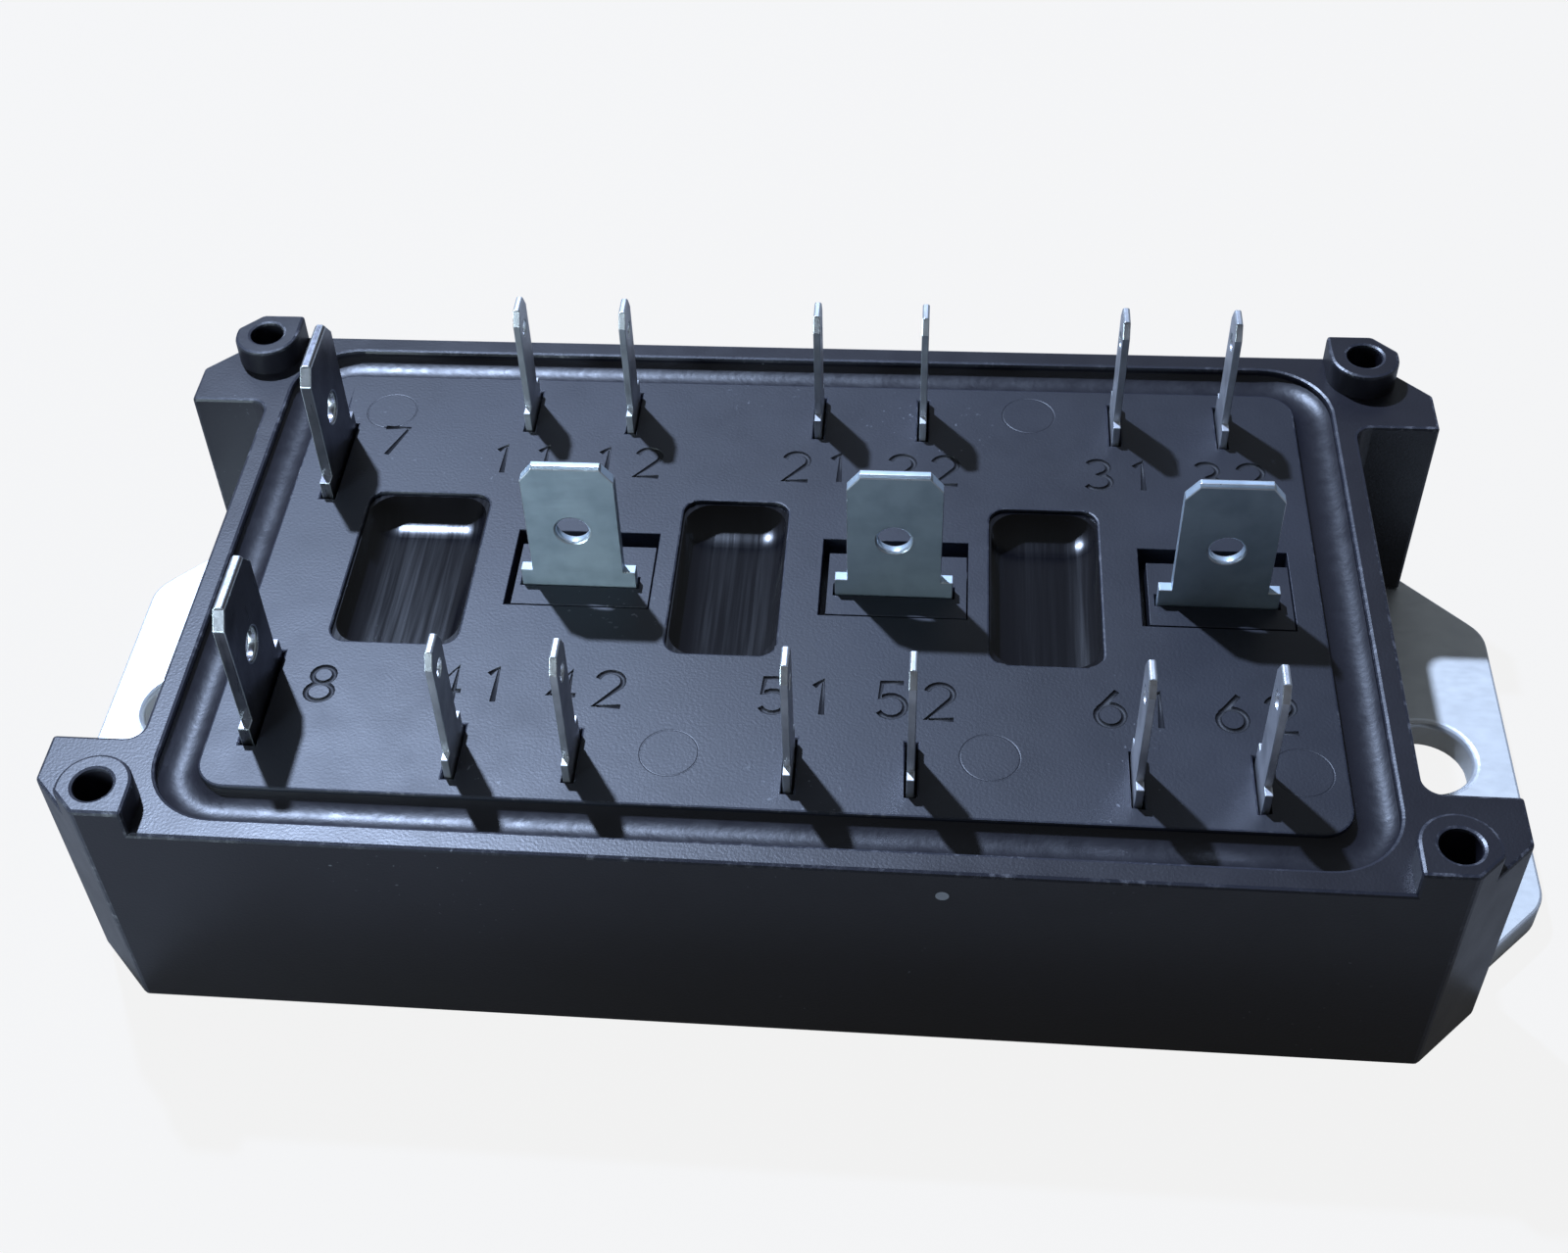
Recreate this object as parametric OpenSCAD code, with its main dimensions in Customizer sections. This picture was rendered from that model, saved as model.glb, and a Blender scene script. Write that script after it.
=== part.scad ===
// Six-pack power transistor module: a moulded frame and lid on a nickel-plated
// base plate, five blade terminals for the power circuit and twelve small blade
// pins for the gate drives. Origin at the middle of the base plate's underside,
// +X along the module, +Z up. Millimetres.

/* [Base plate] */
// Length of the plate, over the two mounting ends
plate_l = 105; // [102:0.5:112]
// Thickness of the plate
plate_t = 2.5; // [2:0.1:3.5]
// 45 degree cut at each corner of the plate, measured along a side
plate_cut = 11.3; // [8:0.1:14]
// Radius between a corner cut and the end face
plate_round = 3; // [1:0.5:5]
// Distance from an end of the plate to the middle of its mounting hole
mount_inset = 6; // [5.5:0.1:7]
// Diameter of a mounting hole
mount_d = 6.4; // [4.5:0.1:6.8]
// Bevel round the upper edge of a mounting hole
mount_bevel = 0.3; // [0.1:0.05:0.5]

/* [Case frame] */
// Length of the frame over its ears
case_l = 93.5; // [90:0.5:98]
// Depth of the frame, front face to back face
case_w = 49.6; // [47:0.2:54]
// Height of the rim and of the ears above the underside of the plate
rim_z = 19.2; // [17:0.1:22]
// Height of the frame's lower edge above the underside of the plate
skirt_z = 1; // [0.4:0.1:1.6]
// Length of the box between the ears, over its end walls
box_l = 81.6; // [80:0.2:84]
// Thickness of the long walls
side_wall = 1.7; // [1.3:0.1:2]
// Thickness of the end walls
end_wall = 1.6; // [1.2:0.1:2]
// Depth of an ear, from the long face inwards
ear_w = 7.9; // [7:0.1:9]
// 45 degree cut at an ear's outer corner
ear_cut = 4.2; // [3:0.1:5]
// Radius in the inner corner of an end notch
notch_r = 1.2; // [0.6:0.1:2]
// Radius of the box's inner corners
cavity_r = 4.8; // [4.2:0.1:5.4]

/* [Cover bosses] */
// Distance from an ear's end face to the middle of its boss
boss_inset_x = 5; // [4.6:0.1:5.4]
// Distance from a long face to the middle of a boss
boss_inset_y = 2.3; // [2.2:0.05:2.8]
// Diameter of a boss
boss_d = 5; // [4.4:0.1:5.4]
// Height of a boss above the rim
boss_h = 2.1; // [1:0.1:4]
// Diameter of the screw hole in a boss
boss_hole_d = 2.5; // [2:0.1:3]
// Depth of the screw hole in a boss
boss_hole_depth = 9; // [4:0.5:12]

/* [Lid] */
// Thickness of the lid
lid_t = 3; // [2.4:0.1:4]
// How far the lid lies below the rim
lid_drop = 0.2; // [0:0.05:0.6]
// Width of the sealing groove between the rim and the lid
groove_w = 2.7; // [2:0.05:3]
// Clearance round a terminal where it passes through the lid
slot_gap = 0.15; // [0.1:0.05:0.3]
// Width of the two resin pockets that lie between the phases
pocket_w = 7.5; // [6:0.1:8]
// Width of the resin pocket beside the supply terminals
first_pocket_w = 8.9; // [8:0.1:9.5]
// Depth of the resin pockets, across the module
pocket_d = 14.8; // [12:0.2:16]
// How far the pockets lie to the left of the middle between two outputs
pocket_shift = 0.6; // [0:0.1:1]
// Corner radius of the resin pockets
pocket_r = 1.2; // [0.8:0.1:2]

/* [Potting resin] */
// Height of the resin's lower face above the underside of the plate
resin_z = 12; // [10:0.5:13.5]
// How far the resin stays below the lid where it touches a wall
resin_drop = 0.3; // [0.1:0.05:0.6]
// Depth of the hollow along the middle of the sealing groove
groove_sag = 0.9; // [0.4:0.1:1]
// Depth of the hollow in a pocket
pocket_sag = 2.3; // [1.2:0.1:2.6]
// Radius with which the resin climbs a pocket's walls
pocket_climb = 2; // [1:0.1:2.2]

/* [Power terminals] */
// Width of the blade
blade_w = 6.35; // [6.2:0.05:6.5]
// Thickness of the blade
blade_t = 0.8; // [0.7:0.05:0.9]
// Height of the blade's tip above the underside of the plate
blade_z = 30; // [28.8:0.1:32]
// Height of the shoulder above the underside of the plate
shoulder_z = 20.35; // [19.8:0.05:21.4]
// Width of the strip below the shoulder
strip_w = 8; // [7.4:0.1:8.4]
// Height of the blade's hole above the underside of the plate
blade_hole_z = 24.2; // [23.4:0.1:26]
// Diameter of the blade's hole
blade_hole_d = 2.2; // [1.6:0.1:2.4]
// Countersink at both ends of the blade's hole
blade_hole_sink = 0.15; // [0.05:0.05:0.2]
// Width of the cut at each tip corner
blade_cut_w = 0.85; // [0.5:0.05:1.4]
// Height of the cut at each tip corner
blade_cut_h = 1.3; // [0.8:0.1:2.2]
// Bevel along the tip, on both faces
tip_bevel = 0.2; // [0.1:0.05:0.25]
// Distance between neighbouring phase outputs
phase_pitch = 21.7; // [21.3:0.1:21.9]
// Place of the middle phase output along the module
output_x = 7.85; // [7.4:0.05:8.2]
// Place of the phase outputs across the module
output_y = -1.05; // [-1.6:0.05:-0.6]
// Distance from the lid's left edge to the supply terminals
supply_inset = 2.85; // [2.2:0.05:3.2]
// Distance between the positive and the negative supply terminal
supply_pitch = 23.4; // [22.4:0.1:24]

/* [Signal pins] */
// Width of the pin's blade
pin_w = 2.8; // [2.6:0.05:3]
// Thickness of the pin's blade
pin_t = 0.5; // [0.4:0.05:0.6]
// Height of the pin's tip above the underside of the plate
pin_z = 29.3; // [28.5:0.1:31]
// Height of the pin's shoulder above the underside of the plate
pin_shoulder_z = 20.55; // [20:0.05:21.5]
// Width of the strip below the pin's shoulder
pin_strip_w = 4.2; // [3.8:0.1:4.5]
// Height of the pin's hole above the underside of the plate
pin_hole_z = 27.05; // [25.5:0.05:27.4]
// Diameter of the pin's hole
pin_hole_d = 1.25; // [0.9:0.05:1.5]
// Width of the cut at each tip corner of a pin
pin_cut_w = 0.6; // [0.4:0.05:0.9]
// Height of the cut at each tip corner of a pin
pin_cut_h = 1.1; // [0.7:0.1:1.4]
// Distance between a gate pin and its emitter pin
pair_pitch = 7.7; // [7.2:0.1:8]
// Place of the middle pair of pins along the module
pair_x = 5.6; // [5.3:0.05:5.9]
// Distance from a long edge of the lid to its row of pins
pin_inset = 3.7; // [3.4:0.05:4]

/* [Output inserts] */
// Length of the lid's window for an output insert
window_l = 10.1; // [9.8:0.1:10.4]
// Back edge of the window, measured from the output terminal's middle
window_back = 4.9; // [4.6:0.05:5.4]
// Front edge of the window, measured from the output terminal's middle
window_front = 2.45; // [2:0.05:2.8]
// Depth of the window below the lid's face
window_depth = 2; // [1.6:0.1:2.2]
// Gap left open behind the insert
insert_back_gap = 1.4; // [1:0.1:1.8]
// Gap left open at the insert's left end
insert_left_gap = 0.5; // [0.3:0.05:0.6]
// Gap left open at the insert's right end and in front of it
insert_gap = 0.1; // [0.05:0.05:0.2]

/* [Power circuit] */
// Length of one ceramic tile, along the module
tile_l = 20.3; // [20:0.1:20.6]
// Distance from the frame's long walls to the ceramic tiles
tile_inset = 3.6; // [2.6:0.1:3.8]
// Thickness of the ceramic
ceramic_t = 0.6; // [0.4:0.05:0.8]
// Thickness of the copper on each face of the ceramic
copper_t = 0.3; // [0.2:0.05:0.4]
// Bare edge of the ceramic round its copper
copper_edge = 0.3; // [0.2:0.05:0.3]
// Side of a transistor chip
igbt_side = 4.5; // [4:0.1:4.6]
// Side of a diode chip
diode_side = 3; // [2.5:0.1:3.2]
// Thickness of a chip
chip_t = 0.3; // [0.2:0.05:0.4]
// Diameter of a bond wire
wire_d = 0.35; // [0.25:0.05:0.4]
// Distance between the bond wires of one chip
wire_pitch = 1; // [0.8:0.1:1.2]
// Distance from an edge of the copper, or a chip's middle, to the end of a wire
wire_reach = 1; // [0.8:0.1:1.2]
// Height left free above the tiles for the bond wires
wire_room = 3.4; // [3.2:0.1:5]
// Thickness of the straps that join the tiles' supply rails
strap_t = 0.3; // [0.2:0.05:0.5]
// Width of such a strap
strap_w = 3; // [2:0.5:5]
// Length of a strap's end on each tile
strap_lap = 1.5; // [1:0.1:2]
// Length of a supply terminal's foot on the first tile
supply_lap = 2.5; // [2:0.1:3]

/* [Hidden] */
$fn = 48;

// small step by which a cutting shape runs past the face that it cuts
past = 1;

case_x = case_l / 2;
case_y = case_w / 2;
box_x = box_l / 2;
cavity_x = box_x - end_wall;
cavity_y = case_y - side_wall;
ear_y = case_y - ear_w;
// the plate stays behind the frame's long faces, and inside its rebate
plate_inset = 1;
plate_y = case_y - plate_inset;
rebate_gap = 0.1;
mount_x = plate_l / 2 - mount_inset;
boss_x = case_x - boss_inset_x;
boss_y = case_y - boss_inset_y;

lid_z = rim_z - lid_drop;
lid_bottom = lid_z - lid_t;
lid_x = cavity_x - groove_w;
lid_y = cavity_y - groove_w;
lid_r = cavity_r - groove_w;
resin_top = lid_z - resin_drop;

// places of the terminals and pins that follow the lid
supply_x = supply_inset - lid_x;
plus_y = output_y + supply_pitch / 2;
minus_y = output_y - supply_pitch / 2;
back_row_y = lid_y - pin_inset;
front_row_y = pin_inset - lid_y;

// heights in the power circuit, from the plate up
ceramic_z = plate_t + copper_t;
circuit_z = ceramic_z + ceramic_t + copper_t;
chip_z = circuit_z + chip_t;

// phases: U, V and W from left to right
U = 0;
V = 1;
W = 2;
function output_place(phase) = output_x + (phase - V) * phase_pitch;
function pair_place(phase) = pair_x + (phase - V) * phase_pitch;
function tile_place(phase) = (output_place(phase) + pair_place(phase)) / 2 + tile_shift;
tile_shift = 0.1;

// copper islands: front and back edge of each strip of copper, as parts of the
// tile's half depth
tile_y = cavity_y - tile_inset;
plus_rail = tile_y * [0.277, 0.636];
phase_pad = tile_y * [-0.205, 0.226];
minus_rail = tile_y * [-0.636, -0.256];
pad_margin = 0.1;
pad_w = pin_strip_w + 2 * pad_margin;
pad_l = 3.2;

// chips, measured from the middle of their tile
high_igbt_x = -4.6;
high_diode_x = 4.6;
low_igbt_x = -6.4;
low_diode_x = 7.6;
high_chip_y = (plus_rail[0] + plus_rail[1]) / 2;
low_chip_y = (phase_pad[0] + phase_pad[1]) / 2;

// terminal feet, which lie on the copper
supply_foot_l = tile_place(U) - tile_l / 2 - supply_x + supply_lap;
output_foot_l = 3;
pin_foot_l = 1.6;
foot_side = 0.2;

// resin pockets, one to the left of each output; their right edges are evenly spaced
pocket_widths = [first_pocket_w, pocket_w, pocket_w];
function pocket_place(phase) =
    output_place(phase) - phase_pitch / 2 - pocket_shift - (pocket_widths[phase] - pocket_w) / 2;

plastic = [0.13, 0.14, 0.17];
tin = [0.68, 0.70, 0.72];
nickel = [0.80, 0.83, 0.86];
resin_black = [0.03, 0.03, 0.04];
copper = [0.80, 0.48, 0.30];
ceramic = [0.93, 0.92, 0.88];
silicon = [0.35, 0.37, 0.42];

// ---- outlines -------------------------------------------------------------

// rectangle about the origin with its four corners cut at 45 degrees
module cut_rectangle(x, y, cut) {
    polygon([
        [x, cut - y], [x, y - cut], [x - cut, y], [cut - x, y],
        [-x, y - cut], [-x, cut - y], [cut - x, -y], [x - cut, -y],
    ]);
}

// rectangle about the origin with round corners
module round_rectangle(x, y, r) {
    square([2 * (x - r), 2 * y], center = true);
    square([2 * x, 2 * (y - r)], center = true);
    for (sx = [-1, 1], sy = [-1, 1])
        translate([sx * (x - r), sy * (y - r)]) circle(r);
}

// outline of the base plate, with a round corner at each end of its end faces
module plate_outline() {
    x = plate_l / 2;
    tangent_l = plate_round * tan(22.5);
    step = tangent_l * cos(45);
    end_y = plate_y - plate_cut - tangent_l;
    cut_rectangle(x - step, plate_y, plate_cut - step);
    square([2 * x, 2 * end_y], center = true);
    for (sx = [-1, 1], sy = [-1, 1])
        translate([sx * (x - plate_round), sy * end_y]) circle(plate_round);
}

// outline of the frame: the box, and an ear at each corner
module case_outline() {
    notch_l = case_x - box_x;
    difference() {
        cut_rectangle(case_x, case_y, ear_cut);
        for (side = [-1, 1])
            translate([side * (box_x + notch_l), 0])
                round_rectangle(notch_l, ear_y, notch_r);
    }
}

// outline of a boss: round, with a web out to the long face, inside the ear
module boss_outline(sx, sy) {
    web = boss_inset_y + past;
    intersection() {
        translate([sx * boss_x, sy * boss_y]) {
            circle(d = boss_d);
            translate([-boss_d / 2, sy > 0 ? 0 : -web]) square([boss_d, web]);
        }
        case_outline();
    }
}

// ---- base plate and frame -------------------------------------------------

module base_plate() {
    color(nickel)
    difference() {
        linear_extrude(plate_t) plate_outline();
        for (side = [-1, 1])
            translate([side * mount_x, 0, 0]) {
                translate([0, 0, -past]) cylinder(d = mount_d, h = plate_t + 2 * past);
                translate([0, 0, plate_t - mount_bevel])
                    cylinder(r1 = mount_d / 2, r2 = mount_d / 2 + 2 * mount_bevel, h = 2 * mount_bevel);
            }
    }
}

// the moulding's floor step sits on the plate, and its skirt covers the plate's sides
module case_frame() {
    color(plastic)
    difference() {
        union() {
            translate([0, 0, skirt_z]) linear_extrude(rim_z - skirt_z) case_outline();
            for (sx = [-1, 1], sy = [-1, 1])
                translate([0, 0, rim_z - past])
                    linear_extrude(boss_h + past) boss_outline(sx, sy);
        }
        translate([0, 0, skirt_z - past])
            linear_extrude(rim_z - skirt_z + 2 * past) round_rectangle(cavity_x, cavity_y, cavity_r);
        translate([0, 0, skirt_z - past])
            linear_extrude(plate_t - skirt_z + past)
                cut_rectangle(plate_l / 2 + rebate_gap, plate_y + rebate_gap, plate_cut);
        for (sx = [-1, 1], sy = [-1, 1])
            translate([sx * boss_x, sy * boss_y, rim_z + boss_h - boss_hole_depth])
                cylinder(d = boss_hole_d, h = boss_hole_depth + past);
    }
}

// ---- terminals ------------------------------------------------------------

// flat blade in the XZ plane, from height z0 to its tip, on a wider strip
module blade_strip(width, thick, base_w, z0, shoulder, tip, cut_w, cut_h, bevel) {
    translate([0, thick / 2, 0]) rotate([90, 0, 0])
        linear_extrude(thick)
            polygon([
                [-base_w / 2, z0], [base_w / 2, z0],
                [base_w / 2, shoulder], [width / 2, shoulder],
                [width / 2, tip - cut_h], [width / 2 - cut_w, tip - bevel],
                [cut_w - width / 2, tip - bevel], [-width / 2, tip - cut_h],
                [-width / 2, shoulder], [-base_w / 2, shoulder],
            ]);
    // bevelled edge of the tip
    translate([cut_w - width / 2, 0, tip - bevel]) rotate([90, 0, 90])
        linear_extrude(width - 2 * cut_w)
            polygon([
                [-thick / 2, 0], [thick / 2, 0],
                [thick / 2 - bevel, bevel], [bevel - thick / 2, bevel],
            ]);
}

// hole through a blade, countersunk from both faces
module blade_hole(d, thick, sink) {
    rotate([90, 0, 0]) {
        cylinder(d = d, h = thick + 2 * past, center = true);
        for (face = [0, 180])
            rotate([0, face, 0]) translate([0, 0, thick / 2 - sink])
                cylinder(r1 = d / 2, r2 = d / 2 + 2 * sink, h = 2 * sink);
    }
}

// power blade on its strip, standing at the height of the circuit
module power_blade() {
    difference() {
        blade_strip(blade_w, blade_t, strip_w, circuit_z, shoulder_z, blade_z,
                    blade_cut_w, blade_cut_h, tip_bevel);
        translate([0, 0, blade_hole_z]) blade_hole(blade_hole_d, blade_t, blade_hole_sink);
    }
}

module output_terminal(phase) {
    color(tin)
    translate([output_place(phase), output_y, 0]) {
        power_blade();
        translate([-strip_w / 2, 0, circuit_z]) cube([strip_w, output_foot_l, blade_t]);
    }
}

// supply terminal: its blade lies across the module, and its foot bridges to
// the first tile's rail
module supply_terminal(y, rail) {
    foot_y0 = max(y - strip_w / 2, rail[0] + foot_side);
    foot_y1 = min(y + strip_w / 2, rail[1] - foot_side);
    color(tin)
    union() {
        translate([supply_x, y, 0]) rotate([0, 0, 90]) power_blade();
        translate([supply_x, foot_y0, circuit_z])
            cube([supply_foot_l, foot_y1 - foot_y0, blade_t]);
    }
}

// signal pin: its blade lies across the module, and its foot turns to the right
module signal_pin(x, y) {
    color(tin)
    translate([x, y, 0]) {
        rotate([0, 0, 90])
            difference() {
                blade_strip(pin_w, pin_t, pin_strip_w, circuit_z, pin_shoulder_z, pin_z,
                            pin_cut_w, pin_cut_h, tip_bevel / 2);
                translate([0, 0, pin_hole_z])
                    rotate([90, 0, 0])
                        cylinder(d = pin_hole_d, h = pin_t + 2 * past, center = true);
            }
        translate([0, -pin_strip_w / 2, circuit_z]) cube([pin_foot_l, pin_strip_w, pin_t]);
    }
}

// where the pins stand: gate on the left and emitter on the right of each pair
function pin_x(phase, side) = pair_place(phase) + side * pair_pitch / 2;
GATE = -1;
EMITTER = 1;

// room for every terminal between two heights, with a gap round each strip
module terminal_room(z0, z1, gap) {
    translate([0, 0, z0]) linear_extrude(z1 - z0) {
        for (phase = [U, V, W])
            translate([output_place(phase), output_y])
                square([strip_w + 2 * gap, blade_t + 2 * gap], center = true);
        for (y = [plus_y, minus_y])
            translate([supply_x, y])
                square([blade_t + 2 * gap, strip_w + 2 * gap], center = true);
        for (phase = [U, V, W], side = [GATE, EMITTER], y = [back_row_y, front_row_y])
            translate([pin_x(phase, side), y])
                square([pin_t + 2 * gap, pin_strip_w + 2 * gap], center = true);
    }
}

// ---- lid, inserts and fillings --------------------------------------------

module pocket_outline(phase) {
    translate([pocket_place(phase), 0])
        round_rectangle(pocket_widths[phase] / 2, pocket_d / 2, pocket_r);
}

// the window's place and size round one output terminal
module window_box(phase) {
    translate([output_place(phase) - window_l / 2, output_y - window_front, lid_z - window_depth])
        cube([window_l, window_front + window_back, window_depth + past]);
}

module lid() {
    color(plastic)
    difference() {
        translate([0, 0, lid_bottom])
            linear_extrude(lid_t)
                difference() {
                    round_rectangle(lid_x, lid_y, lid_r);
                    for (phase = [U, V, W]) pocket_outline(phase);
                }
        terminal_room(lid_bottom - past, lid_z + past, slot_gap);
        for (phase = [U, V, W]) window_box(phase);
    }
}

// loose block that closes the window round an output terminal
module output_insert(phase) {
    l = window_l - insert_left_gap - insert_gap;
    w = window_front + window_back - insert_back_gap - insert_gap;
    color(plastic)
    difference() {
        translate([output_place(phase) - window_l / 2 + insert_left_gap,
                   output_y - window_front + insert_gap, lid_z - window_depth])
            cube([l, w, window_depth]);
        terminal_room(lid_bottom, lid_z + past, slot_gap);
    }
}

// hollow swept along the middle of the groove, a rod of radius r
module groove_hollow(r) {
    mid = groove_w / 2;
    x = lid_x + mid;
    y = lid_y + mid;
    bend = lid_r + mid;
    z = resin_top - groove_sag + r;
    for (side = [-1, 1]) {
        translate([bend - x, side * y, z]) rotate([0, 90, 0])
            cylinder(r = r, h = 2 * (x - bend));
        translate([side * x, y - bend, z]) rotate([90, 0, 0])
            cylinder(r = r, h = 2 * (y - bend));
    }
    for (sx = [0, 1], sy = [0, 1])
        mirror([sx, 0, 0]) mirror([0, sy, 0])
            translate([x - bend, y - bend, z])
                rotate_extrude(angle = 90) translate([bend, 0]) circle(r);
}

// box with round lower edges and corners, open upwards
module dish(x, y, h, r) {
    translate([0, 0, r]) linear_extrude(h) round_rectangle(x, y, r);
    translate([r - x, r - y, 0]) cube([2 * (x - r), 2 * (y - r), r + past]);
    for (side = [-1, 1]) {
        translate([r - x, side * (y - r), r]) rotate([0, 90, 0]) cylinder(r = r, h = 2 * (x - r));
        translate([side * (x - r), y - r, r]) rotate([90, 0, 0]) cylinder(r = r, h = 2 * (y - r));
        for (end = [-1, 1]) translate([side * (x - r), end * (y - r), r]) sphere(r);
    }
}

// hard resin under the lid, which rises in the groove and in the pockets
module potting_resin() {
    hollow_r = (pow(groove_w / 2, 2) + pow(groove_sag, 2)) / (2 * groove_sag);
    wall_film = 0.12;
    color(resin_black)
    difference() {
        union() {
            translate([0, 0, resin_z]) linear_extrude(lid_bottom - resin_z)
                round_rectangle(cavity_x, cavity_y, cavity_r);
            translate([0, 0, lid_bottom]) linear_extrude(resin_top - lid_bottom) {
                difference() {
                    round_rectangle(cavity_x, cavity_y, cavity_r);
                    round_rectangle(lid_x, lid_y, lid_r);
                }
                for (phase = [U, V, W]) pocket_outline(phase);
            }
        }
        groove_hollow(hollow_r);
        for (phase = [U, V, W])
            translate([pocket_place(phase), 0, resin_top - pocket_sag])
                dish(pocket_widths[phase] / 2 - wall_film, pocket_d / 2 - wall_film,
                     pocket_sag, pocket_climb);
        terminal_room(resin_z - past, lid_bottom + past, 0);
    }
}

// soft gel over the circuit, relieved above the tiles, chips and wires
module silicone_gel() {
    relief_x0 = supply_x - blade_t / 2;
    relief_x1 = tile_place(W) + tile_l / 2;
    color([0.85, 0.88, 0.9, 0.5])
    difference() {
        translate([0, 0, plate_t]) linear_extrude(resin_z - plate_t)
            round_rectangle(cavity_x, cavity_y, cavity_r);
        translate([relief_x0, -tile_y, plate_t - past])
            cube([relief_x1 - relief_x0, 2 * tile_y, circuit_z + wire_room - plate_t + past]);
        terminal_room(circuit_z, resin_z + past, 0);
    }
}

// ---- power circuit --------------------------------------------------------

module ceramic_tile(phase) {
    color(ceramic)
    translate([tile_place(phase) - tile_l / 2, -tile_y, ceramic_z])
        cube([tile_l, 2 * tile_y, ceramic_t]);
}

// one strip of copper across the tile
module copper_strip(edges) {
    l = tile_l - 2 * copper_edge;
    translate([-l / 2, edges[0], 0]) cube([l, edges[1] - edges[0], copper_t]);
}

// copper below the ceramic, and the etched islands on top of it
module copper_pattern(phase) {
    color(copper)
    translate([tile_place(phase), 0, 0]) {
        translate([copper_edge - tile_l / 2, copper_edge - tile_y, plate_t])
            cube([tile_l - 2 * copper_edge, 2 * (tile_y - copper_edge), copper_t]);
        translate([0, 0, ceramic_z + ceramic_t]) {
            copper_strip(plus_rail);
            copper_strip(phase_pad);
            copper_strip(minus_rail);
            for (side = [GATE, EMITTER], y = [back_row_y, front_row_y])
                translate([pin_x(phase, side) - tile_place(phase) - pad_l / 4, y - pad_w / 2, 0])
                    cube([pad_l, pad_w, copper_t]);
        }
    }
}

module chip(phase, side, x, y) {
    color(silicon)
    translate([tile_place(phase) + x - side / 2, y - side / 2, circuit_z])
        cube([side, side, chip_t]);
}

// wire loop along Y from a chip's face down to the copper beside it
module wire_loop(x, y_chip, y_copper) {
    r = abs(y_copper - y_chip) / 2;
    translate([x, (y_chip + y_copper) / 2, chip_z]) rotate([90, 0, 90])
        rotate_extrude(angle = 180, $fn = 16) translate([r, 0]) circle(d = wire_d, $fn = 14);
    translate([x, y_copper, circuit_z]) cylinder(d = wire_d, h = chip_t, $fn = 14);
}

// the loops of one chip, side by side, down to the island in front of it
module chip_wires(phase, x, y_chip, island, count) {
    for (k = [0 : count - 1])
        wire_loop(tile_place(phase) + x + (k - (count - 1) / 2) * wire_pitch,
                  y_chip - wire_reach, island[1] - wire_reach);
}

module bond_wires() {
    color("silver")
    for (phase = [U, V, W]) {
        chip_wires(phase, high_igbt_x, high_chip_y, phase_pad, 3);
        chip_wires(phase, high_diode_x, high_chip_y, phase_pad, 2);
        chip_wires(phase, low_igbt_x, low_chip_y, minus_rail, 3);
        chip_wires(phase, low_diode_x, low_chip_y, minus_rail, 2);
    }
}

// flat straps from tile to tile along a supply rail
module rail_straps(rail) {
    l = phase_pitch - tile_l + 2 * (copper_edge + strap_lap);
    color(copper)
    for (phase = [U, V])
        translate([(tile_place(phase) + tile_place(phase + 1) - l) / 2,
                   (rail[0] + rail[1] - strap_w) / 2, circuit_z])
            cube([l, strap_w, strap_t]);
}

base_plate();
case_frame();
lid();
potting_resin();
silicone_gel();
output_insert(U);  // u_insert
output_insert(V);  // v_insert
output_insert(W);  // w_insert
supply_terminal(plus_y, plus_rail);  // plus_terminal
supply_terminal(minus_y, minus_rail);  // minus_terminal
output_terminal(U);  // u_terminal
output_terminal(V);  // v_terminal
output_terminal(W);  // w_terminal
signal_pin(pin_x(U, GATE), back_row_y);  // gate_pin_u_high
signal_pin(pin_x(U, EMITTER), back_row_y);  // emitter_pin_u_high
signal_pin(pin_x(V, GATE), back_row_y);  // gate_pin_v_high
signal_pin(pin_x(V, EMITTER), back_row_y);  // emitter_pin_v_high
signal_pin(pin_x(W, GATE), back_row_y);  // gate_pin_w_high
signal_pin(pin_x(W, EMITTER), back_row_y);  // emitter_pin_w_high
signal_pin(pin_x(U, GATE), front_row_y);  // gate_pin_u_low
signal_pin(pin_x(U, EMITTER), front_row_y);  // emitter_pin_u_low
signal_pin(pin_x(V, GATE), front_row_y);  // gate_pin_v_low
signal_pin(pin_x(V, EMITTER), front_row_y);  // emitter_pin_v_low
signal_pin(pin_x(W, GATE), front_row_y);  // gate_pin_w_low
signal_pin(pin_x(W, EMITTER), front_row_y);  // emitter_pin_w_low
ceramic_tile(U);  // ceramic_tile_u
ceramic_tile(V);  // ceramic_tile_v
ceramic_tile(W);  // ceramic_tile_w
copper_pattern(U);  // copper_pattern_u
copper_pattern(V);  // copper_pattern_v
copper_pattern(W);  // copper_pattern_w
chip(U, igbt_side, high_igbt_x, high_chip_y);  // igbt_chip_u_high
chip(V, igbt_side, high_igbt_x, high_chip_y);  // igbt_chip_v_high
chip(W, igbt_side, high_igbt_x, high_chip_y);  // igbt_chip_w_high
chip(U, igbt_side, low_igbt_x, low_chip_y);  // igbt_chip_u_low
chip(V, igbt_side, low_igbt_x, low_chip_y);  // igbt_chip_v_low
chip(W, igbt_side, low_igbt_x, low_chip_y);  // igbt_chip_w_low
chip(U, diode_side, high_diode_x, high_chip_y);  // diode_chip_u_high
chip(V, diode_side, high_diode_x, high_chip_y);  // diode_chip_v_high
chip(W, diode_side, high_diode_x, high_chip_y);  // diode_chip_w_high
chip(U, diode_side, low_diode_x, low_chip_y);  // diode_chip_u_low
chip(V, diode_side, low_diode_x, low_chip_y);  // diode_chip_v_low
chip(W, diode_side, low_diode_x, low_chip_y);  // diode_chip_w_low
bond_wires();
rail_straps(plus_rail);  // plus_straps
rail_straps(minus_rail);  // minus_straps
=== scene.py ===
"""Looks of the power transistor module: materials, soft edges, engraved numbers, light and camera."""

import math

import bpy
from mathutils import Matrix, Vector


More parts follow.
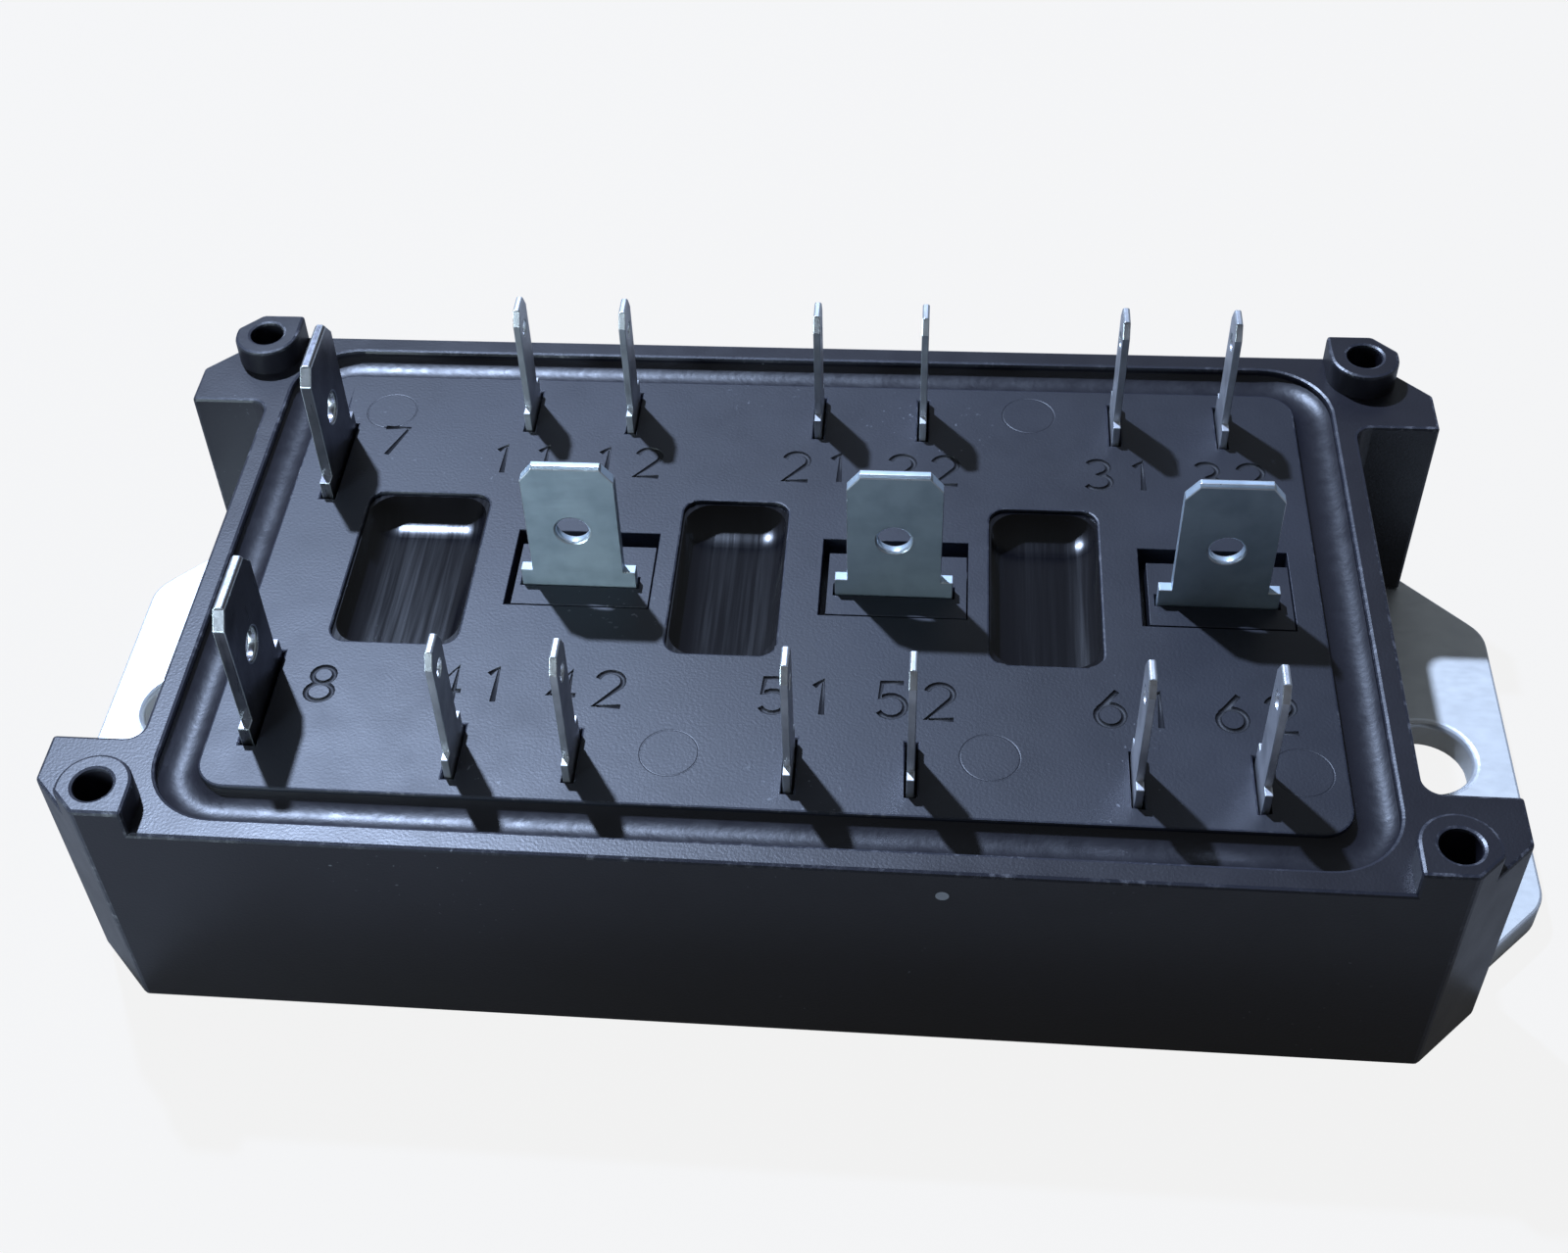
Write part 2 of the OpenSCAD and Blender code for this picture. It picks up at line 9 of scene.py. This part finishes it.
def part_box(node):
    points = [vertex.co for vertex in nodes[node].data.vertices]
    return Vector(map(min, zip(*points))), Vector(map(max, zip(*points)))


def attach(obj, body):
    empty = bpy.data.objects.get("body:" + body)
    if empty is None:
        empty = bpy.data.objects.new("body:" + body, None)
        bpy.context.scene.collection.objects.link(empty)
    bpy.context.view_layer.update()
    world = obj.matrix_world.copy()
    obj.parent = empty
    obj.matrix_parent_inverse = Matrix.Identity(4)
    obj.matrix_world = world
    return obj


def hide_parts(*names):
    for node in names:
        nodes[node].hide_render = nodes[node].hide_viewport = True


MM = 0.001
SAME_POINT = 0.0005 * MM    # points closer than this are one point
PHASES = ("u", "v", "w")
NOISE_RANGE = (0.3, 0.7)    # most values of a noise lie between these

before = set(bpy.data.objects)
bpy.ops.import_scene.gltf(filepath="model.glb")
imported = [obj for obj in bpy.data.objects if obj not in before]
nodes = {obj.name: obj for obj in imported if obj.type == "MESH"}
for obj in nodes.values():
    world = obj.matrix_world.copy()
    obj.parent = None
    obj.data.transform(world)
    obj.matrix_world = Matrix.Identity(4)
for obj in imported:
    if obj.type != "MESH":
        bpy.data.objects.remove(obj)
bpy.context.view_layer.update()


# ---- node trees -----------------------------------------------------------


def math_node(tree, operation, *sources):
    """The output of a Math node whose inputs are sockets or plain numbers."""
    made = tree.nodes.new("ShaderNodeMath")
    made.operation = operation
    for target, source in zip(made.inputs, sources):
        if isinstance(source, float):
            target.default_value = source
        else:
            tree.links.new(source, target)
    return made.outputs[0]


def mix_shaders(tree, share, first, second):
    """The output of a shader that goes from first to second as share goes from 0 to 1."""
    made = tree.nodes.new("ShaderNodeMixShader")
    for target, source in zip(made.inputs, (share, first, second)):
        tree.links.new(source, target)
    return made.outputs[0]


class Paint:
    """A material whose colour, roughness and bump come from a few textures in the object's own space."""

    def __init__(self, name, color, metallic=0.0, roughness=0.5, specular=0.5):
        self.material = bpy.data.materials.new(name)
        self.material.use_nodes = True
        self.tree = self.material.node_tree
        self.shader = self.tree.nodes["Principled BSDF"]
        self.shader.inputs["Base Color"].default_value = (*color, 1)
        self.shader.inputs["Metallic"].default_value = metallic
        self.shader.inputs["Roughness"].default_value = roughness
        self.shader.inputs["Specular IOR Level"].default_value = specular
        self.place = self.add("ShaderNodeTexCoord").outputs["Object"]
        self.normal = None

    def add(self, kind, **values):
        """A new node; an underscore in an input's name stands for a space."""
        made = self.tree.nodes.new(kind)
        for key, value in values.items():
            made.inputs[key.replace("_", " ")].default_value = value
        return made

    def link(self, source, target):
        self.tree.links.new(source, target)

    def noise(self, size_mm, detail=3.0, rough=0.5, stretch=(1, 1, 1)):
        """Noise whose features are about size_mm across; a small stretch makes them long along that axis."""
        mapping = self.add("ShaderNodeMapping", Scale=stretch)
        self.link(self.place, mapping.inputs["Vector"])
        made = self.add("ShaderNodeTexNoise", Scale=1 / (size_mm * MM), Detail=detail, Roughness=rough)
        self.link(mapping.outputs["Vector"], made.inputs["Vector"])
        return made.outputs["Fac"]

    def ramp(self, factor, low, high, start=0.0, end=1.0):
        """The value that goes from start to end as factor goes from low to high."""
        made = self.add("ShaderNodeMapRange", From_Min=low, From_Max=high, To_Min=start, To_Max=end)
        self.link(factor, made.inputs["Value"])
        return made.outputs["Result"]

    def mix_color(self, factor, color_a, color_b):
        """A mix of two colours, each a socket or three numbers."""
        made = self.add("ShaderNodeMix")
        made.data_type = "RGBA"
        self.link(factor, made.inputs["Factor"])
        for socket, color in ((made.inputs[6], color_a), (made.inputs[7], color_b)):
            if isinstance(color, tuple):
                socket.default_value = (*color, 1)
            else:
                self.link(color, socket)
        return made.outputs[2]

    def color(self, source):
        self.link(source, self.shader.inputs["Base Color"])

    def roughness(self, texture, middle, below, above):
        """Roughness that follows a noise, down to below under the middle value and up to above over it."""
        ramp = self.ramp(texture, *NOISE_RANGE, middle - below, middle + above)
        self.link(ramp, self.shader.inputs["Roughness"])

    def flatten(self, share):
        """Leans the shading normal towards straight up, so that a hollow shines like a shallower one."""
        up = self.add("ShaderNodeCombineXYZ", Z=1.0)
        lean = self.add("ShaderNodeMix")
        lean.data_type = "VECTOR"
        lean.inputs["Factor"].default_value = share
        self.link(self.add("ShaderNodeNewGeometry").outputs["Normal"], lean.inputs[4])
        self.link(up.outputs[0], lean.inputs[5])
        unit = self.add("ShaderNodeVectorMath")
        unit.operation = "NORMALIZE"
        self.link(lean.outputs[1], unit.inputs[0])
        self.normal = unit.outputs["Vector"]

    def bump(self, height, depth_mm):
        """A bump of about depth_mm, on top of those already made."""
        made = self.add("ShaderNodeBump", Strength=1.0, Distance=depth_mm * MM)
        self.link(height, made.inputs["Height"])
        if self.normal is not None:
            self.link(self.normal, made.inputs["Normal"])
        self.normal = made.outputs["Normal"]
        self.link(self.normal, self.shader.inputs["Normal"])


# ---- materials ------------------------------------------------------------

DUST = (0.20, 0.21, 0.23)


def plastic(name, dark, light, roughness, scuffs=0.0):
    """Moulded, mineral-filled plastic: fine grain, faint clouds, a little dust and, on edges, pale scuffs."""
    paint = Paint(name, dark, roughness=roughness)
    body = paint.mix_color(paint.ramp(paint.noise(16), *NOISE_RANGE), dark, light)
    specks = paint.ramp(paint.noise(0.4, detail=1), 0.71, 0.79)
    patches = paint.ramp(paint.noise(13, detail=1), 0.55, 0.75)
    body = paint.mix_color(math_node(paint.tree, "MULTIPLY", specks, patches), body, DUST)
    if scuffs:
        marks = paint.ramp(paint.noise(0.8, detail=4, rough=0.7), 0.50, 0.66)
        places = paint.ramp(paint.noise(6), 0.42, 0.62)
        rubbed = math_node(paint.tree, "MULTIPLY", marks, places)
        body = paint.mix_color(rubbed, body, (scuffs, scuffs, 1.1 * scuffs))
    paint.color(body)
    paint.roughness(paint.noise(3), roughness, 0.03, 0.03)
    paint.bump(paint.noise(0.20, detail=2), 0.010)
    paint.bump(paint.noise(20, detail=1), 0.06)
    return paint.material


def cast_resin(name, color, roughness, specular, flat_share, streaked=False):
    """Hard cast resin: a slightly uneven, sparkling skin, or fine streaks that run across the module."""
    paint = Paint(name, color, roughness=roughness, specular=specular)
    paint.flatten(flat_share)
    if streaked:
        streaks = paint.noise(0.30, detail=2, stretch=(1, 0.03, 0.1))
        paint.roughness(streaks, roughness, 0.04, 0.07)
        paint.bump(streaks, 0.006)
    else:
        paint.roughness(paint.noise(1.2, detail=2), roughness, 0.05, 0.05)
        paint.bump(paint.noise(0.45, detail=2), 0.014)
        paint.bump(paint.noise(6, detail=1), 0.05)
    return paint.material


def plated(name, color, tarnish, roughness, grain, streak_mm=0.25, marks_depth=0.005, metallic=0.85):
    """Plated sheet metal, a little clouded, with faint rolling marks along the part and faint stains."""
    paint = Paint(name, color, metallic=metallic, roughness=roughness)
    stains = paint.ramp(paint.noise(2.6, detail=4), 0.42, 0.68)
    paint.color(paint.mix_color(stains, color, tarnish))
    marks = paint.noise(streak_mm, stretch=grain)
    paint.roughness(marks, roughness, 0.05, 0.06)
    paint.bump(marks, marks_depth)
    paint.bump(paint.noise(2.2, detail=1), 0.03)
    return paint.material


def plain_finish(name, color, metallic, roughness, feature_mm):
    """A plain, slightly uneven finish, as on the pieces inside the module."""
    paint = Paint(name, color, metallic=metallic, roughness=roughness)
    darker = tuple(0.7 * c for c in color)
    paint.color(paint.mix_color(paint.noise(feature_mm), color, darker))
    paint.bump(paint.noise(feature_mm / 5, detail=2), 0.01)
    return paint.material


def clear_gel(name):
    """Soft, clear silicone."""
    paint = Paint(name, (0.85, 0.88, 0.9), roughness=0.1)
    paint.shader.inputs["Transmission Weight"].default_value = 0.8
    paint.bump(paint.noise(4), 0.05)
    return paint.material


CASE = plastic("case_plastic", (0.011, 0.0105, 0.015), (0.015, 0.0145, 0.021), 0.36)
# the case's edge material is painted lighter than the case: a painted highlight on the rounded edges, with
# pale scuffs of wear
CASE_EDGE_HIGHLIGHT = plastic("case_edge_highlight", (0.020, 0.021, 0.030), (0.036, 0.038, 0.052), 0.36, scuffs=0.17)
LID = plastic("lid_plastic", (0.013, 0.014, 0.021), (0.019, 0.021, 0.031), 0.44)
# the lid's edge material is painted lighter than the lid: a painted highlight on the rounded edges, with pale
# scuffs of wear
LID_EDGE_HIGHLIGHT = plastic("lid_edge_highlight", (0.024, 0.026, 0.038), (0.036, 0.040, 0.056), 0.42, scuffs=0.12)
# the engraved figures' grooves are painted darker than the lid: painted shade in the recesses
FIGURE = plastic("figure_groove_painted_shade", (0.005, 0.005, 0.008), (0.008, 0.009, 0.013), 0.6)
MARK = plastic("ejector_mark", (0.012, 0.013, 0.020), (0.017, 0.019, 0.028), 0.44)
RESIN = cast_resin("cast_resin", (0.014, 0.014, 0.020), 0.36, 0.4, 0.45)
POCKET = cast_resin("pocket_resin", (0.004, 0.004, 0.006), 0.20, 0.33, 0.55, streaked=True)

# the grain's three numbers stretch the rolling marks along x, y and z
TIN = plated("tin_plate", (0.50, 0.59, 0.66), (0.39, 0.47, 0.54), 0.50, (0.15, 1, 1), metallic=0.5)
# the tin's edge material is lighter than the tin: a painted highlight on the rounded edges
TIN_EDGE_HIGHLIGHT = plated("tin_edge_highlight", (0.74, 0.78, 0.81), (0.64, 0.68, 0.71), 0.32, (1, 1, 0.08))
# the supply terminals' tin is a darker copy of the terminal tin: painted shade, as their faces reflect the
# dark room
SHADED_SUPPLY_TIN = plated(
    "supply_tin_painted_shade", (0.28, 0.28, 0.31), (0.18, 0.18, 0.20), 0.32, (1, 1, 0.08), metallic=1.0)
PIN_TIN = plated("pin_tin_plate", (0.66, 0.67, 0.70), (0.46, 0.47, 0.50), 0.44, (1, 1, 0.06), streak_mm=0.15)
NICKEL = plated(
    "nickel_plate", (0.84, 0.84, 0.80), (0.78, 0.78, 0.75), 0.50, (0.4, 1, 1),
    streak_mm=0.5, marks_depth=0.001, metallic=0.40)
# the nickel's edge material is lighter than the nickel: a painted highlight on the rounded edges
NICKEL_EDGE_HIGHLIGHT = plated(
    "nickel_edge_highlight", (0.86, 0.88, 0.89), (0.80, 0.82, 0.84), 0.36, (0.4, 1, 1),
    streak_mm=0.5, marks_depth=0.001, metallic=0.6)
PRINT = plain_finish("white_print", (0.80, 0.81, 0.82), 0.0, 0.6, 0.6)

MATERIALS = {
    "case_frame": CASE,
    "lid": LID,
    "base_plate": NICKEL,
    "potting_resin": RESIN,
    "_insert": LID,
    "plus_terminal": SHADED_SUPPLY_TIN,
    "minus_terminal": SHADED_SUPPLY_TIN,
    "_terminal": TIN,
    "_pin_": PIN_TIN,
    "ceramic_tile": plain_finish("white_ceramic", (0.86, 0.85, 0.80), 0.0, 0.6, 2),
    "copper_pattern": plain_finish("bare_copper", (0.72, 0.36, 0.22), 1.0, 0.35, 2),
    "igbt_chip": plain_finish("transistor_chip", (0.30, 0.31, 0.34), 0.6, 0.2, 1),
    "diode_chip": plain_finish("diode_chip", (0.26, 0.27, 0.31), 0.6, 0.2, 1),
    "bond_wires": plain_finish("bond_wire", (0.80, 0.81, 0.82), 1.0, 0.3, 1),
    "_straps": plain_finish("strap_copper", (0.70, 0.35, 0.21), 1.0, 0.38, 2),
    "silicone_gel": clear_gel("silicone_gel"),
}


def material_for(node):
    """The material of the first entry whose words are in the node's name."""
    return next(material for words, material in MATERIALS.items() if words in node)


# ---- soft edges on the CAD pieces -----------------------------------------

CRISP = 0.35                # bevel of the edges beside an output terminal, as a share of the others
WINDOW_MARGIN = 1 * MM      # how far past an insert counts as beside its terminal; behind it, twice as far
WINDOW_DEPTH = 4 * MM
WINDOW_ABOVE = 0.1 * MM


def sharp_convex_edges(mesh, least_degrees=32):
    """Indices of the edges that stand out, found by position, so that split vertices don't hide them."""
    def key(index):
        return tuple(round(c / SAME_POINT) for c in mesh.vertices[index].co)

    sides = {}
    for polygon in mesh.polygons:
        for a, b in polygon.edge_keys:
            sides.setdefault(frozenset((key(a), key(b))), []).append(polygon)
    least = math.cos(math.radians(least_degrees))
    carvings = {FIGURE.name, MARK.name}
    found = []
    for edge in mesh.edges:
        pair = sides.get(frozenset(key(i) for i in edge.vertices), [])
        if len(pair) != 2 or pair[0].normal.dot(pair[1].normal) > least:
            continue
        if carvings & {mesh.materials[side.material_index].name for side in pair}:
            continue
        if pair[0].normal.dot(pair[1].center - pair[0].center) < 0:
            found.append(edge.index)
    return found


def beside_output(point):
    """Is this point at the window round an output terminal, where the edges are crisp?"""
    for phase in PHASES:
        low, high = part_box(f"{phase}_insert")
        across = low.x - WINDOW_MARGIN < point.x < high.x + WINDOW_MARGIN
        along = low.y - WINDOW_MARGIN < point.y < high.y + 2 * WINDOW_MARGIN
        if across and along:
            return high.z - WINDOW_DEPTH < point.z < high.z + WINDOW_ABOVE
    return False


def merge_flat_faces(piece):
    """Welds the CAD mesh and joins the triangles of each flat face, so that cuts and bevels are clean."""
    weld = piece.modifiers.new("weld", "WELD")
    weld.merge_threshold = SAME_POINT
    flat = piece.modifiers.new("flat_faces", "DECIMATE")
    flat.decimate_type = "DISSOLVE"
    flat.angle_limit = math.radians(0.4)


def soften(piece, width_mm):
    """Rounds the edges of a piece that stand out; the new faces take its last material."""
    merge_flat_faces(piece)
    mesh = piece.data
    weights = mesh.attributes.new("bevel_weight_edge", "FLOAT", "EDGE")
    for index in sharp_convex_edges(mesh):
        middle = sum((mesh.vertices[i].co for i in mesh.edges[index].vertices), Vector()) / 2
        weights.data[index].value = CRISP if beside_output(middle) else 1.0
    bevel = piece.modifiers.new("edges", "BEVEL")
    bevel.width = width_mm * MM
    bevel.segments = 2
    bevel.limit_method = "WEIGHT"
    bevel.use_clamp_overlap = False
    bevel.material = len(mesh.materials) - 1
    shade = piece.modifiers.new("shading", "WEIGHTED_NORMAL")
    shade.keep_sharp = True


# for nodes with these words in their names: the bevel's width in mm and the edge's material, which is painted
# lighter than the face as a highlight
EDGES = {
    "case_frame": (0.25, CASE_EDGE_HIGHLIGHT), "lid": (0.15, LID_EDGE_HIGHLIGHT), "base_plate": (0.2, NICKEL_EDGE_HIGHLIGHT),
    "_insert": (0.12, LID_EDGE_HIGHLIGHT), "_terminal": (0.06, TIN_EDGE_HIGHLIGHT), "_pin_": (0.05, TIN_EDGE_HIGHLIGHT),
}

for name, piece in nodes.items():
    piece.data.materials.clear()
    piece.data.materials.append(material_for(name))
    for words, (width, highlight_edge_material) in EDGES.items():
        if words in name:
            piece.data.materials.append(highlight_edge_material)
            soften(piece, width)


def paint_pockets(piece, half_length):
    """Streaks the resin in the pockets, which reach less than half_length from the module's middle line."""
    piece.data.materials.append(POCKET)
    low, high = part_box("lid")
    for polygon in piece.data.polygons:
        place = polygon.center
        if abs(place.y) < half_length and place.z > low.z and low.x < place.x < high.x:
            polygon.material_index = len(piece.data.materials) - 1


paint_pockets(nodes["potting_resin"], 8 * MM)


# ---- engraved terminal numbers and moulding marks, in mm --------------------


def arc(cx, cy, rx, ry, start, end, steps=12):
    """Points of an ellipse's arc, in degrees."""
    return [
        (cx + rx * math.cos(math.radians(start + (end - start) * i / steps)),
         cy + ry * math.sin(math.radians(start + (end - start) * i / steps)))
        for i in range(steps + 1)
    ]


# strokes of each figure in a cell 1 high and FIGURE_W wide
FIGURE_W = 0.62
FIGURES = {
    "1": [[(0.14, 0.80), (0.34, 1.0), (0.34, 0.0)]],
    "2": [arc(0.31, 0.72, 0.29, 0.28, 165, -30) + [(0.02, 0.0), (0.62, 0.0)]],
    "3": [arc(0.31, 0.76, 0.26, 0.24, 150, -90) + arc(0.31, 0.26, 0.31, 0.26, 90, -150)[1:]],
    "4": [[(0.62, 0.28), (0.0, 0.28), (0.46, 1.0), (0.46, 0.0)]],
    "5": [[(0.56, 1.0), (0.09, 1.0), (0.05, 0.56)] + arc(0.30, 0.32, 0.31, 0.32, 125, -150)],
    "6": [[(0.48, 1.0)] + arc(0.31, 0.31, 0.30, 0.31, 160, 505, 22)],
    "7": [[(0.0, 1.0), (0.60, 1.0), (0.20, 0.0)]],
    "8": [arc(0.31, 0.76, 0.25, 0.24, 90, 450, 18), arc(0.31, 0.26, 0.30, 0.26, 90, 450, 18)],
}
FIGURE_H = 3.0
FIGURE_STEP = 3.1

# row of pins, the numbers' place along y, and the first figure at the first phase
PIN_NUMBERS = (("high", 11.25, 1), ("low", -10.9, 4))
BESIDE_PIN = 0.4
# number and its place along y
SUPPLY_NUMBERS = (("7", 12.9), ("8", -11.4))
BESIDE_SUPPLY = 4.1

# places of the mould's ejector pins on the lid
EJECTORS = [(-6.0, -16.1), (14.4, -15.4), (33.7, -15.6), (17.2, 17.5), (-30.8, 16.3)]
EJECTOR_R = 1.9

# the rods that cut: how far their middle lies above the lid, and their radius
FIGURE_ROD = (0.06, 0.23)
EJECTOR_ROD = (0.15, 0.18)
RING_GAP = 0.01             # a stroke whose ends are closer than this is a ring


def figure_strokes(text, x, y):
    """Strokes of text, centred on x, y."""
    left = x - (FIGURE_STEP * (len(text) - 1) + FIGURE_W * FIGURE_H) / 2
    for i, figure in enumerate(text):
        for stroke in FIGURES[figure]:
            yield [(left + i * FIGURE_STEP + u * FIGURE_H, y + (v - 0.5) * FIGURE_H) for u, v in stroke]


def terminal_numbers():
    """Two-figure numbers beside the pins, and one figure beside each supply terminal."""
    strokes = []
    for side, y, first in PIN_NUMBERS:
        for i, phase in enumerate(PHASES):
            for k, kind in enumerate(("gate", "emitter")):
                pin_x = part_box(f"{kind}_pin_{phase}_{side}")[0].x / MM
                strokes += figure_strokes(f"{first + i}{k + 1}", pin_x + BESIDE_PIN, y)
    supply_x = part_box("plus_terminal")[0].x / MM
    for number, y in SUPPLY_NUMBERS:
        strokes += figure_strokes(number, supply_x + BESIDE_SUPPLY, y)
    return strokes


def ejector_rings():
    """The faint rings that the mould's ejector pins leave on the lid."""
    return [arc(x, y, EJECTOR_R, EJECTOR_R, 0, 360, 32) for x, y in EJECTORS]


def tubes(name, strokes, rod, material):
    """Round rods along the strokes, as one mesh that cuts the lid; a stroke that closes is a ring."""
    above, radius = rod
    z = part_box("lid")[1].z / MM + above
    data = bpy.data.curves.new(name, "CURVE")
    data.dimensions = "3D"
    data.bevel_depth = radius * MM
    data.bevel_resolution = 2
    data.use_fill_caps = True
    for stroke in strokes:
        spline = data.splines.new("POLY")
        spline.use_cyclic_u = math.dist(stroke[0], stroke[-1]) < RING_GAP
        points = stroke[:-1] if spline.use_cyclic_u else stroke
        spline.points.add(len(points) - 1)
        for point, (x, y) in zip(spline.points, points):
            point.co = (x * MM, y * MM, z * MM, 1)
    curve = bpy.data.objects.new(name, data)
    bpy.context.scene.collection.objects.link(curve)
    mesh = bpy.data.meshes.new_from_object(curve.evaluated_get(bpy.context.evaluated_depsgraph_get()))
    bpy.data.objects.remove(curve)
    mesh.materials.append(material)
    cutter = bpy.data.objects.new(name, mesh)
    bpy.context.scene.collection.objects.link(cutter)
    return cutter


def carved(node, name, cutters):
    """A copy of a CAD node with the cutters' grooves and soft edges, which stands for that node."""
    piece = bpy.data.objects.new(name, nodes[node].data.copy())
    bpy.context.scene.collection.objects.link(piece)
    piece.data.materials.clear()
    piece.data.materials.append(material_for(node))
    merge_flat_faces(piece)
    for cutter in cutters:
        cut = piece.modifiers.new("cut", "BOOLEAN")
        cut.operation = "DIFFERENCE"
        cut.solver = "EXACT"
        cut.use_self = True
        cut.material_mode = "TRANSFER"
        cut.object = cutter
    depsgraph = bpy.context.evaluated_depsgraph_get()
    mesh = bpy.data.meshes.new_from_object(piece.evaluated_get(depsgraph))
    piece.modifiers.clear()
    piece.data = mesh
    for cutter in cutters:
        bpy.data.objects.remove(cutter)
    # the copied edge weights no longer fit the cut mesh
    mesh.attributes.remove(mesh.attributes["bevel_weight_edge"])
    # the edge material, painted lighter as a highlight, goes on the bevel's new faces
    width, highlight_edge_material = EDGES[node]
    mesh.materials.append(highlight_edge_material)
    soften(piece, width)
    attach(piece, "root")
    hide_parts(node)


carved("lid", "lid_engraved", [
    tubes("number_cutter", terminal_numbers(), FIGURE_ROD, FIGURE),
    tubes("ejector_cutter", ejector_rings(), EJECTOR_ROD, MARK),
])


def printed_dot(x, z, radius, proud):
    """A small white dot printed on the frame's front face."""
    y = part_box("case_frame")[0].y / MM - proud
    ring = arc(x, z, radius, radius, 0, 360, 24)[:-1]
    mesh = bpy.data.meshes.new("printed_dot")
    mesh.from_pydata([(u * MM, y * MM, v * MM) for u, v in ring], [], [tuple(range(len(ring)))])
    mesh.materials.append(PRINT)
    dot = bpy.data.objects.new("printed_dot", mesh)
    bpy.context.scene.collection.objects.link(dot)
    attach(dot, "root")


printed_dot(x=11.6, z=17.0, radius=0.42, proud=0.01)


# ---- floor, light and camera, in metres ------------------------------------

FLOOR_REACH = 1.5
FLOOR_GREY = (0.24, 0.24, 0.24)
FLOOR_GLOW = 0.88           # share of the floor that the camera sees as plain white; the rest has the shadow
MIRRORED = 0.10             # how brightly gloss and glass show the white background

BRIGHT_SIDE = (-0.40, 0.70, 0.59)
DARK_FROM = -0.75           # cosine of the angle from the bright side at which the room gets no darker
ROOM_FALLOFF = 2.6
ROOM_BRIGHTEST = 0.27
ROOM_DARKEST = 0.009
ROOM_COLOR = (0.66, 0.80, 1.0)


def background_share(tree, seen, mirrored):
    """How much white background a ray meets: the camera sees it bright, gloss and glass see it dimly."""
    rays = tree.nodes.new("ShaderNodeLightPath").outputs
    bounced = math_node(tree, "MAXIMUM", rays["Is Glossy Ray"], rays["Is Transmission Ray"])
    dimmed = math_node(tree, "MULTIPLY", bounced, mirrored)
    return math_node(tree, "MULTIPLY_ADD", rays["Is Camera Ray"], seen, dimmed)


def pale_floor():
    """A pale floor that shows nearly white to the camera and keeps the shadow."""
    corners = [(x * FLOOR_REACH, y * FLOOR_REACH, 0) for x, y in ((-1, -1), (1, -1), (1, 1), (-1, 1))]
    mesh = bpy.data.meshes.new("floor")
    mesh.from_pydata(corners, [], [(0, 1, 2, 3)])
    floor = bpy.data.objects.new("floor", mesh)
    bpy.context.scene.collection.objects.link(floor)
    paint = Paint("floor", FLOOR_GREY, roughness=0.9, specular=0.1)
    glow = paint.add("ShaderNodeEmission", Strength=1.0)
    share = background_share(paint.tree, FLOOR_GLOW, MIRRORED)
    both = mix_shaders(paint.tree, share, paint.shader.outputs[0], glow.outputs[0])
    paint.link(both, paint.tree.nodes["Material Output"].inputs["Surface"])
    mesh.materials.append(paint.material)


def studio_world():
    """White behind the object; for reflections and fill, a dark room that is bright towards the back left."""
    world = bpy.data.worlds.new("studio")
    world.use_nodes = True
    tree = world.node_tree
    towards = tree.nodes.new("ShaderNodeVectorMath")
    towards.operation = "DOT_PRODUCT"
    towards.inputs[1].default_value = Vector(BRIGHT_SIDE).normalized()
    tree.links.new(tree.nodes.new("ShaderNodeTexCoord").outputs["Generated"], towards.inputs[0])
    share = tree.nodes.new("ShaderNodeMapRange")
    share.inputs["From Min"].default_value = DARK_FROM
    share.inputs["From Max"].default_value = 1.0
    tree.links.new(towards.outputs["Value"], share.inputs["Value"])
    falloff = math_node(tree, "POWER", share.outputs["Result"], ROOM_FALLOFF)
    level = math_node(tree, "MULTIPLY_ADD", falloff, ROOM_BRIGHTEST, ROOM_DARKEST)
    room = tree.nodes["Background"]
    room.inputs["Color"].default_value = (*ROOM_COLOR, 1)
    tree.links.new(level, room.inputs["Strength"])
    white = tree.nodes.new("ShaderNodeBackground")
    white.inputs["Color"].default_value = (1, 1, 1, 1)
    white.inputs["Strength"].default_value = 1.0
    both = mix_shaders(tree, background_share(tree, 1.0, MIRRORED), room.outputs[0], white.outputs[0])
    tree.links.new(both, tree.nodes["World Output"].inputs["Surface"])
    bpy.context.scene.world = world


def lamp(name, place, aim, size, power, color, spread=180):
    """A round lamp that the camera doesn't see; spread is its beam's full angle in degrees."""
    light = bpy.data.lights.new(name, "AREA")
    light.spread = math.radians(spread)
    light.shape = "DISK"
    light.size = size
    light.energy = power
    light.color = color
    lamp_object = bpy.data.objects.new(name, light)
    lamp_object.location = place
    lamp_object.visible_camera = False
    lamp_object.rotation_euler = (Vector(aim) - Vector(place)).to_track_quat("-Z", "Y").to_euler()
    bpy.context.scene.collection.objects.link(lamp_object)


def photo_camera():
    """Camera close in front and above, turned a little to the right and tilted."""
    azimuth, elevation, roll = (math.radians(a) for a in (8.614, 44.795, -4.279))
    distance = 0.158343
    target = Vector((-0.006895, 0.010868, 0.010))
    away = math.cos(elevation)
    back = Vector((away * math.sin(azimuth), -away * math.cos(azimuth), math.sin(elevation)))
    level = (-back).cross(Vector((0, 0, 1))).normalized()
    above = level.cross(-back)
    right = math.cos(roll) * level + math.sin(roll) * above
    up = -math.sin(roll) * level + math.cos(roll) * above
    data = bpy.data.cameras.new("camera")
    data.sensor_width = 36
    data.lens = 47.663
    data.shift_x = 0.0514
    data.shift_y = -0.0459
    data.clip_start = 0.01
    camera = bpy.data.objects.new("camera", data)
    turn = Matrix((right, up, back)).transposed().to_4x4()
    camera.matrix_world = Matrix.Translation(target + distance * back) @ turn
    bpy.context.scene.collection.objects.link(camera)
    bpy.context.scene.camera = camera


pale_floor()
studio_world()
# the window, behind the module and to its left; and a weak fill from the front left
lamp("window", (-0.182, 0.241, 0.534), aim=(0, 0, 0.01), size=0.022, power=5.9, color=(0.56, 0.70, 1.0))
lamp("fill", (-0.09, -0.075, 0.045), aim=(-0.030, 0, 0.022), size=0.05, power=0.0105,
     color=(0.72, 0.90, 0.99), spread=45)
photo_camera()
bpy.context.scene.view_settings.view_transform = "Standard"

bpy.context.view_layer.update()
